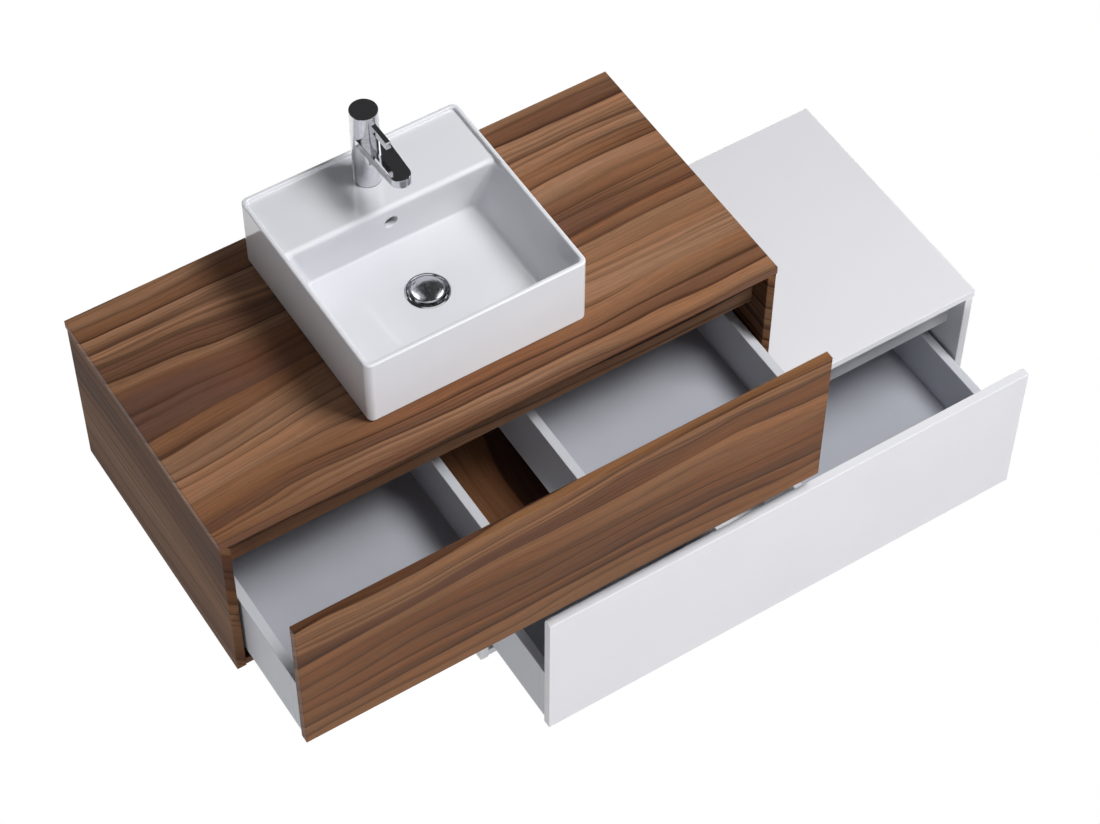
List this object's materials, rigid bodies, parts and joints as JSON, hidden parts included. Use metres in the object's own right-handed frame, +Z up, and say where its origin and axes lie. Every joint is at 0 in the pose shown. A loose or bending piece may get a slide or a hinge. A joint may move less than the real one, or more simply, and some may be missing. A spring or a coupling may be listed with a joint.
{
  "type": "floating vanity",
  "caption": "Wall-hung vanity with a walnut drawer cabinet, a square basin with a lever tap, and an offset white drawer cabinet below.",
  "frame": {"origin": "middle of the upper cabinet's wall bolt row, on the wall plane", "axes": "+Z up, -Y out of the wall towards the drawer fronts, +X to the right as seen from the front"},
  "size_m": [1.438, 0.683, 0.9629],
  "materials": {
    "walnut_board": "walnut laminate, satin",
    "white_board": "white laminate, satin",
    "drawer_board": "light grey foil",
    "runner_steel": "zinc plated",
    "fastener_steel": "zinc plated",
    "catch_plastic": "moulded",
    "basin_ceramic": "gloss glaze",
    "chrome": "polished",
    "seal_rubber": "black",
    "plain_brass": "turned"
  },
  "bodies": {
    "root": {"upper_top_board": "walnut_board", "upper_left_side": "walnut_board", "upper_right_side": "walnut_board", "upper_bottom_board": "walnut_board", "upper_front_rail": "walnut_board", "upper_hanging_rail": "walnut_board", "upper_wall_rail": "runner_steel", "upper_cabinet_runners": "runner_steel", "lower_top_board": "white_board", "lower_left_side": "white_board", "lower_right_side": "white_board", "lower_bottom_board": "white_board", "lower_front_rail": "white_board", "lower_hanging_rail": "white_board", "lower_wall_rail": "runner_steel", "lower_cabinet_runners": "runner_steel", "cam_connectors": "fastener_steel", "cabinet_hangers": "fastener_steel", "basin": "basin_ceramic", "waste_flange": "chrome", "waste_washer": "seal_rubber", "waste_nut": "plain_brass", "tap_body": "chrome", "tap_gasket": "seal_rubber", "tap_clamp": "plain_brass", "tap_aerator": "chrome"},
    "upper_drawer": {"upper_drawer_runners": "runner_steel", "upper_drawer_front": "walnut_board", "upper_drawer_subfront": "drawer_board", "upper_left_box_outer_wall": "drawer_board", "upper_left_box_inner_wall": "drawer_board", "upper_left_box_back": "drawer_board", "upper_left_box_floor": "drawer_board", "upper_right_box_inner_wall": "drawer_board", "upper_right_box_outer_wall": "drawer_board", "upper_right_box_back": "drawer_board", "upper_right_box_floor": "drawer_board", "upper_front_screws": "fastener_steel", "upper_runner_catches": "catch_plastic"},
    "upper_middle_runners": {"upper_middle_runners": "runner_steel"},
    "lower_drawer": {"lower_drawer_runners": "runner_steel", "lower_drawer_front": "white_board", "lower_drawer_subfront": "drawer_board", "lower_left_box_outer_wall": "drawer_board", "lower_left_box_inner_wall": "drawer_board", "lower_left_box_back": "drawer_board", "lower_left_box_floor": "drawer_board", "lower_right_box_inner_wall": "drawer_board", "lower_right_box_outer_wall": "drawer_board", "lower_right_box_back": "drawer_board", "lower_right_box_floor": "drawer_board", "lower_front_screws": "fastener_steel", "lower_runner_catches": "catch_plastic"},
    "lower_middle_runners": {"lower_middle_runners": "runner_steel"},
    "plug": {"waste_plug": "chrome"},
    "tap_swivel": {"tap_collar": "fastener_steel"},
    "tap_handle": {"tap_cap": "chrome", "tap_lever": "chrome", "tap_pivot_pin": "fastener_steel"}
  },
  "joints": [
    {"name": "upper_drawer_slide", "type": "slide", "parent": "root", "child": "upper_drawer", "axis": [0, -1, 0], "range_m": [-0.186, 0.242]},
    {"name": "upper_middle_slide", "type": "slide", "parent": "root", "child": "upper_middle_runners", "axis": [0, -1, 0], "range_m": [-0.093, 0.121]},
    {"name": "lower_drawer_slide", "type": "slide", "parent": "root", "child": "lower_drawer", "axis": [0, -1, 0], "range_m": [-0.186, 0.242]},
    {"name": "lower_middle_slide", "type": "slide", "parent": "root", "child": "lower_middle_runners", "axis": [0, -1, 0], "range_m": [-0.093, 0.121]},
    {"name": "plug_press", "type": "slide", "parent": "root", "child": "plug", "axis": [0, 0, -1], "range_m": [0, 0.006]},
    {"name": "tap_temperature", "type": "hinge", "parent": "root", "child": "tap_swivel", "pos_m": [-0.005, -0.096, 0.31], "axis": [0, 0, 1], "range_deg": [-45, 45]},
    {"name": "tap_flow", "type": "hinge", "parent": "tap_swivel", "child": "tap_handle", "pos_m": [-0.005, -0.096, 0.3154], "axis": [-1, 0, 0], "range_deg": [0, 20]}
  ],
  "couplings": [
    {"joint": "upper_middle_slide", "follows": "upper_drawer_slide", "ratio": 0.5},
    {"joint": "lower_middle_slide", "follows": "lower_drawer_slide", "ratio": 0.5}
  ]
}
